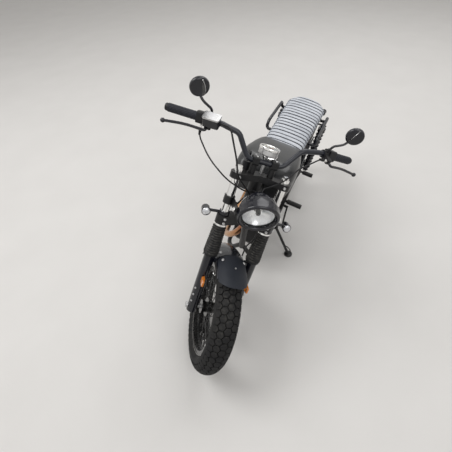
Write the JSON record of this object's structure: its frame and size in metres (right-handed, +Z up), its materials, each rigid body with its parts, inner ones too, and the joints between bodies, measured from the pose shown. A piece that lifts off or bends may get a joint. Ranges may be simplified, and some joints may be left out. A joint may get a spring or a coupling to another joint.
{
  "type": "scrambler motorcycle",
  "caption": "Small vintage-style scrambler motorcycle leaning on its side stand, with ribbed light seat, wire wheels, blocky tyres, round headlamp and high wide bar.",
  "frame": {"origin": "centre of the bounding box on the ground, as the motorcycle stands on its side stand", "axes": "+X towards the front wheel, +Y to the machine's left, +Z up"},
  "size_m": [2.0038, 0.7586, 1.3044],
  "materials": {
    "frame_paint": "satin",
    "engine_metal": "satin",
    "cylinder_paint": "satin",
    "black_plastic": "matte",
    "heat_tinted_steel": "satin",
    "black_steel": "matte",
    "tank_paint": "gloss",
    "plated_steel": "polished",
    "seat_leather": "satin",
    "black_gloss": "gloss",
    "red_lens": "gloss",
    "amber_lens": "gloss",
    "spring_steel": "gloss",
    "black_plastic_metal": "satin",
    "chain_steel": "satin",
    "peg_rubber": "matte",
    "gaiter_rubber": "satin",
    "grip_rubber": "matte",
    "hose_rubber": "satin",
    "alloy": "satin",
    "plate_paint": "matte",
    "mirror_metal": "polished",
    "lens_glass": "clear",
    "tyre_rubber": "matte",
    "disc_steel": "satin"
  },
  "bodies": {
    "chassis": {"main_frame": "frame_paint", "engine_block": "engine_metal", "engine_cylinder": "cylinder_paint", "engine_head": "engine_metal", "intake": "black_plastic", "exhaust_header": "heat_tinted_steel", "silencer": "black_steel", "fuel_tank": "tank_paint", "tank_cap": "plated_steel", "seat": "seat_leather", "side_panels": "tank_paint", "rear_fender": "black_gloss", "tail_lamp": "red_lens", "rear_signals": "plated_steel", "grab_loops": "frame_paint", "swingarm": "frame_paint", "rear_shocks": "spring_steel", "rear_axle": "plated_steel", "rear_caliper": "black_plastic_metal", "drive_chain": "chain_steel", "foot_controls": "peg_rubber"},
    "steering": {"fork_clamps": "black_plastic_metal", "fork_tubes": "plated_steel", "fork_gaiters": "gaiter_rubber", "fork_collars": "alloy", "fork_legs": "black_plastic_metal", "front_axle": "plated_steel", "front_fender": "black_gloss", "fender_plate": "plate_paint", "front_caliper": "black_plastic_metal", "headlamp_shell": "black_gloss", "headlamp_reflector": "mirror_metal", "headlamp_glass": "lens_glass", "lamp_ears": "frame_paint", "handlebar": "black_gloss", "grips": "grip_rubber", "bar_controls": "black_plastic", "hand_levers": "black_plastic_metal", "master_cylinder": "black_plastic_metal", "master_lid": "alloy", "mirrors": "black_plastic", "speedometer": "black_plastic", "ignition_lock": "black_plastic_metal", "front_signals": "black_plastic_metal", "fork_reflectors": "amber_lens", "brake_hose": "hose_rubber", "control_cables": "hose_rubber"},
    "front_wheel": {"front_tyre": "tyre_rubber", "front_rim": "plated_steel", "front_disc": "disc_steel"},
    "rear_wheel": {"rear_tyre": "tyre_rubber", "rear_rim": "plated_steel", "rear_sprocket": "disc_steel", "rear_disc": "disc_steel"},
    "side_stand": {"side_stand": "frame_paint"}
  },
  "joints": [
    {"name": "steering_turn", "type": "hinge", "parent": "chassis", "child": "steering", "pos_m": [0.45747, -0.02693, 0.7286], "axis": [-0.4341, 0.1638, 0.8858], "range_deg": [-56, 0]},
    {"name": "front_wheel_spin", "type": "hinge", "parent": "steering", "child": "front_wheel", "pos_m": [0.71394, -0.08471, 0.29489], "axis": [-0.4237, 0.8307, -0.3612], "continuous": true},
    {"name": "rear_wheel_spin", "type": "hinge", "parent": "chassis", "child": "rear_wheel", "pos_m": [-0.64104, -0.10444, 0.31563], "axis": [-0.0009, 0.9833, -0.1822], "continuous": true},
    {"name": "side_stand_fold", "type": "hinge", "parent": "chassis", "child": "side_stand", "pos_m": [-0.04167, 0.00372, 0.18297], "axis": [0.0026, 0.8353, 0.5498], "range_deg": [0, 100]}
  ]
}
